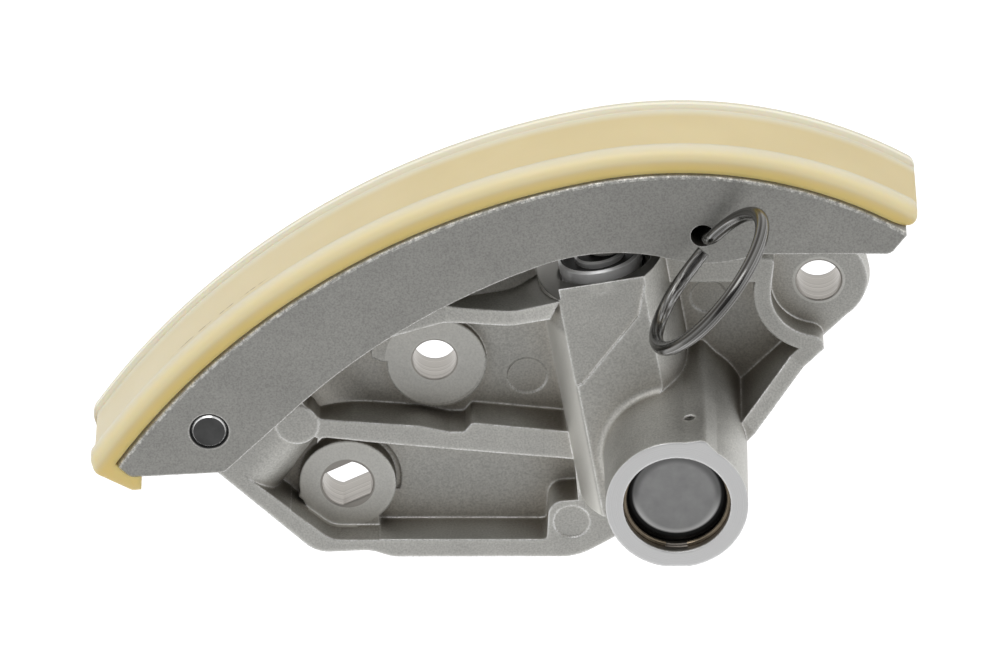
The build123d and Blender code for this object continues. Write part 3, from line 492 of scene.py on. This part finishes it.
def cap_steel():
    """Drawn steel, with a painted reflection on the cap's rim that is light below and dark along its upper
    part, and a near-black band beyond the rim.
    """
    material, tree, shader = steel("cap_steel", dark=0.31, light=0.37, roughness=0.34)
    where = coordinates(tree)
    # Painted reflection on the rim: light below, dark along its upper part
    rim = steps(tree, distance_from_axis(tree, where, RESERVOIR_AXIS), *CAP_RIM)
    above = difference(tree, along(tree, where, "Z"), RESERVOIR_AXIS[1])
    upper = steps(tree, above, -4.0 * MM, 1.0 * MM)
    finish_where(tree, shader, rim, ramp(tree, upper, [(0.0, grey(0.75)), (1.0, grey(0.20))]), roughness=0.4)
    # A near-black band beyond the rim, reaching further in at the bottom
    dark_band = steps(tree, distance_from_axis(tree, where, DARK_BAND_AXIS), *CAP_DARK_BAND)
    finish_where(tree, shader, dark_band, grey(0.03), roughness=0.5)
    return material


def wire_steel():
    """Hard-drawn wire, with drawing marks that run along the pull ring."""
    material, tree, shader = steel("wire_steel", dark=0.15, light=0.24, roughness=0.2, tint=(1.0, 0.98, 0.92))
    where = coordinates(tree)
    spot = tree.nodes.new("ShaderNodeCombineXYZ")
    tree.links.new(towards(tree, where, PULL_RING_AXIS), spot.inputs["X"])
    tree.links.new(distance_to(tree, where, PULL_RING_CENTRE), spot.inputs["Y"])
    marks = noise(tree, spot.outputs["Vector"], 0.3 * MM, detail=3)
    drawn = ramp(tree, marks, [(0.35, (0.05, 0.047, 0.042)), (0.5, (0.15, 0.147, 0.14)), (0.7, grey(0.42))])
    tree.links.new(drawn, shader.inputs["Base Color"])
    normal = bump(tree, marks, 0.04 * MM, rounded_normal(tree, 0.1 * MM))
    tree.links.new(normal, shader.inputs["Normal"])
    return material


# Nylon and rubber

def channel_and_rails(tree, where, away, cloud):
    """The shoe's upper side: a tan channel, creamier to the left, and two rails made lighter by painted
    light.
    """
    tan = mottle(tree, cloud, (0.58, 0.475, 0.25), (0.61, 0.505, 0.275))
    cream = mottle(tree, cloud, (0.64, 0.585, 0.425), (0.67, 0.615, 0.455))
    white = mottle(tree, cloud, (0.67, 0.65, 0.54), (0.70, 0.68, 0.57))
    leftwards = product(tree, along(tree, where, "X"), -1.0)
    surface = mix_colour(tree, steps(tree, leftwards, -10.0 * MM, 80.0 * MM), tan, cream)
    # Painted light: the rails are lighter than the channel
    near_rail = steps(tree, product(tree, away, -1.0), 5.0 * MM, 6.8 * MM)
    surface = mix_colour(tree, near_rail, surface, cream)
    surface = mix_colour(tree, steps(tree, away, 3.6 * MM, 6.2 * MM), surface, white)
    # Painted light: a lighter band along the far rail's crest
    crest = band(tree, away, 6.1 * MM, 7.0 * MM, 0.4 * MM)
    return mix_colour(tree, crest, surface, (0.84, 0.80, 0.65))


def shade_far_edge(tree, shader, surface, away):
    """The far edge of the shoe is darker, as painted shade, and has no shine."""
    far_edge = steps(tree, away, 6.7 * MM, 7.4 * MM)
    shine = product(tree, difference(tree, 1.0, far_edge), 0.5)
    tree.links.new(shine, shader.inputs["Specular IOR Level"])
    # Painted shade: the far edge is darker
    return mix_colour(tree, far_edge, surface, (0.60, 0.57, 0.46))


def amber_sides(tree, where, surface, away, cloud):
    """Amber down the sides of the shoe as painted shade, with a painted highlight on the near shoulder."""
    depth = depth_below_track(tree, where)
    amber = mottle(tree, cloud, (0.71, 0.545, 0.19), (0.74, 0.575, 0.22))
    # Painted shade: amber deepens down the sides
    surface = mix_colour(tree, steps(tree, depth, 0.4 * MM, 3.0 * MM), surface, amber)
    near_side = steps(tree, product(tree, away, -1.0), 6.8 * MM, 8.6 * MM)
    # Painted highlight: a lighter shoulder on the near side
    shoulder = product(tree, near_side, band(tree, depth, 0.6 * MM, 1.2 * MM, 0.9 * MM))
    return mix_colour(tree, shoulder, surface, (0.76, 0.665, 0.40))


def broken_seam(tree, where):
    """A thin line on the running surface, interrupted here and there."""
    across = band(tree, height_above_mount(tree, where), *SEAM_HEIGHT, 0.1 * MM)
    reach = band(tree, along(tree, where, "X"), *SEAM_REACH, 3.0 * MM)
    pieces = steps(tree, noise(tree, where, 2.0 * MM, detail=2), 0.4, 0.55)
    return product(tree, product(tree, across, reach), pieces)


def nylon():
    """Nylon: a tan running channel, with painted light on the cream rails and painted shade in the amber
    towards the arm.
    """
    material, tree, shader = new_material("shoe_nylon")
    where = coordinates(tree)
    away = math_node(tree, "ADD", along(tree, where, "Y"), SHOE_MIDDLE)
    cloud = noise(tree, where, 12.0 * MM, detail=2)
    surface = channel_and_rails(tree, where, away, cloud)
    surface = shade_far_edge(tree, shader, surface, away)
    surface = amber_sides(tree, where, surface, away, cloud)
    surface = mix_colour(tree, broken_seam(tree, where), surface, (0.30, 0.22, 0.12))
    tree.links.new(surface, shader.inputs["Base Color"])
    grain = noise(tree, where, 0.6 * MM, detail=2)
    normal = bump(tree, grain, 0.006 * MM, rounded_normal(tree, SHOE_ROUNDING))
    tree.links.new(normal, shader.inputs["Normal"])
    set_inputs(shader, Roughness=0.42, IOR=1.53, Subsurface_Weight=0.4, Subsurface_Scale=2.5 * MM)
    set_inputs(shader, Subsurface_Radius=(1.0, 0.72, 0.35))
    return material


def rubber():
    material, tree, shader = new_material("seal_rubber_black")
    cloud = noise(tree, coordinates(tree), 1.0 * MM)
    tree.links.new(mottle(tree, cloud, grey(0.012), grey(0.022)), shader.inputs["Base Color"])
    set_inputs(shader, Roughness=0.5)
    return material


def paint(material, *names):
    for name in names:
        mesh = NODES[name].data
        mesh.materials.clear()
        mesh.materials.append(material)


paint(housing_casting(), "housing")
paint(arm_casting(), "lever_arm")
paint(nylon(), "guide_shoe")
paint(piston_steel(), "piston")
paint(plain_steel("ground_steel", dark=0.55, light=0.65, roughness=0.25), "valve_seat", "check_ball")
paint(pivot_steel(), "pivot_pin")
paint(wire_steel(), "lock_pin")
paint(plain_steel("spring_steel", dark=0.22, light=0.32, roughness=0.25), "piston_spring", "ball_spring")
paint(plain_steel("ring_steel", dark=0.14, light=0.26, roughness=0.22, tint=(1.0, 0.82, 0.60)), "cap_ring")
paint(cap_steel(), "reservoir_cap")
pressed_steel = plain_steel("pressed_steel", dark=0.30, light=0.36, roughness=0.40)
paint(pressed_steel, "oil_strainer", "vent_disc", "valve_cage")
paint(rubber(), "cap_seal")


# Studio

def empty_tree(owner):
    owner.use_nodes = True
    owner.node_tree.nodes.clear()
    return owner.node_tree


def mirrored_rays(tree, rays):
    """1 for what is seen mirrored in the object or through it."""
    return either(tree, rays["Is Glossy Ray"], rays["Is Transmission Ray"])


def choose_shader(tree, factor, first, second):
    choice = tree.nodes.new("ShaderNodeMixShader")
    for socket, value in zip(choice.inputs, (factor, first, second)):
        tree.links.new(value, socket)
    return choice.outputs["Shader"]


def studio_glow(tree, direction, rays):
    """Bright all round, dimmer in front and below, with a dark patch that the metal mirrors."""
    front_low = towards(tree, direction, (0, -0.88, -0.48))
    stops = [(0.0, grey(1.0)), (0.4, grey(0.95)), (0.75, grey(0.78)), (1.0, grey(0.60))]
    glow = ramp(tree, steps(tree, front_low, -0.6, 1.0), stops)
    dark_patch = steps(tree, towards(tree, direction, (0, -0.88, 0.48)), 0.72, 0.90)
    dark_patch = product(tree, dark_patch, rays["Is Glossy Ray"])
    return mix_colour(tree, dark_patch, glow, grey(0.12))


def world():
    """White behind the object, for the camera and mirrored in the metal; dimmer in front of it."""
    scene_world = bpy.data.worlds.new("studio")
    bpy.context.scene.world = scene_world
    tree = empty_tree(scene_world)
    direction = tree.nodes.new("ShaderNodeTexCoord").outputs["Generated"]
    rays = tree.nodes.new("ShaderNodeLightPath").outputs
    soft = tree.nodes.new("ShaderNodeBackground")
    tree.links.new(studio_glow(tree, direction, rays), soft.inputs["Color"])
    white = tree.nodes.new("ShaderNodeBackground")
    white.inputs["Color"].default_value = (1, 1, 1, 1)
    behind = steps(tree, along(tree, direction, "Y"), 0.0, 0.4)
    seen_behind = product(tree, mirrored_rays(tree, rays), behind)
    seen = either(tree, rays["Is Camera Ray"], seen_behind)
    output = tree.nodes.new("ShaderNodeOutputWorld")
    surface = choose_shader(tree, seen, soft.outputs["Background"], white.outputs["Background"])
    tree.links.new(surface, output.inputs["Surface"])


def softbox(name, where, size, power):
    light = bpy.data.lights.new(name, "AREA")
    light.shape = "RECTANGLE"
    light.size, light.size_y = size
    light.energy = power
    lamp = bpy.data.objects.new(name, light)
    bpy.context.scene.collection.objects.link(lamp)
    lamp.location = where
    lamp.rotation_mode = "QUATERNION"
    lamp.rotation_quaternion = (OBJECT_MIDDLE - Vector(where)).to_track_quat("-Z", "Y")


def floor_paint():
    """Matt and pale from above, and seen through from underneath."""
    material = bpy.data.materials.new("floor_white")
    tree = empty_tree(material)
    rays = tree.nodes.new("ShaderNodeLightPath").outputs
    seen = either(tree, rays["Is Camera Ray"], mirrored_rays(tree, rays))
    matt = tree.nodes.new("ShaderNodeBsdfDiffuse")
    matt.inputs["Color"].default_value = (*grey(0.85), 1)
    # A faint glow for the camera and for what the object mirrors
    glow = tree.nodes.new("ShaderNodeEmission")
    tree.links.new(product(tree, seen, 0.3), glow.inputs["Strength"])
    pale = tree.nodes.new("ShaderNodeAddShader")
    tree.links.new(matt.outputs[0], pale.inputs[0])
    tree.links.new(glow.outputs[0], pale.inputs[1])
    clear = tree.nodes.new("ShaderNodeBsdfTransparent")
    under = tree.nodes.new("ShaderNodeNewGeometry").outputs["Backfacing"]
    output = tree.nodes.new("ShaderNodeOutputMaterial")
    surface = choose_shader(tree, under, pale.outputs[0], clear.outputs[0])
    tree.links.new(surface, output.inputs["Surface"])
    return material


def floor():
    """A plain pale floor well below and behind the object."""
    mesh = bpy.data.meshes.new("floor")
    reach, front, level = 3.0, -0.12, -0.15
    corners = [(-reach, front, level), (reach, front, level), (reach, reach, level), (-reach, reach, level)]
    mesh.from_pydata(corners, [], [(0, 1, 2, 3)])
    sheet = bpy.data.objects.new("floor", mesh)
    bpy.context.scene.collection.objects.link(sheet)
    mesh.materials.append(floor_paint())


def camera():
    """The photograph's view: from the front, 28.5 degrees above the level, through a long lens."""
    elevation, distance, lens, sensor = 28.5, 1.55, 373.86, 36.0
    target = Vector((9.80657, -12.0, 7.46857)) * MM
    back = Vector((0, -math.cos(math.radians(elevation)), math.sin(math.radians(elevation))))
    data = bpy.data.cameras.new("camera")
    data.lens = lens
    data.sensor_width = sensor
    data.clip_start, data.clip_end = 0.05, 20
    eye = bpy.data.objects.new("camera", data)
    bpy.context.scene.collection.objects.link(eye)
    eye.location = target + back * distance
    eye.rotation_euler = (math.radians(90 - elevation), 0, 0)
    bpy.context.scene.camera = eye


world()
floor()
softbox("key", where=(-0.20, -0.55, 1.0), size=(0.8, 0.5), power=3.0)
camera()
bpy.context.scene.view_settings.view_transform = "Standard"
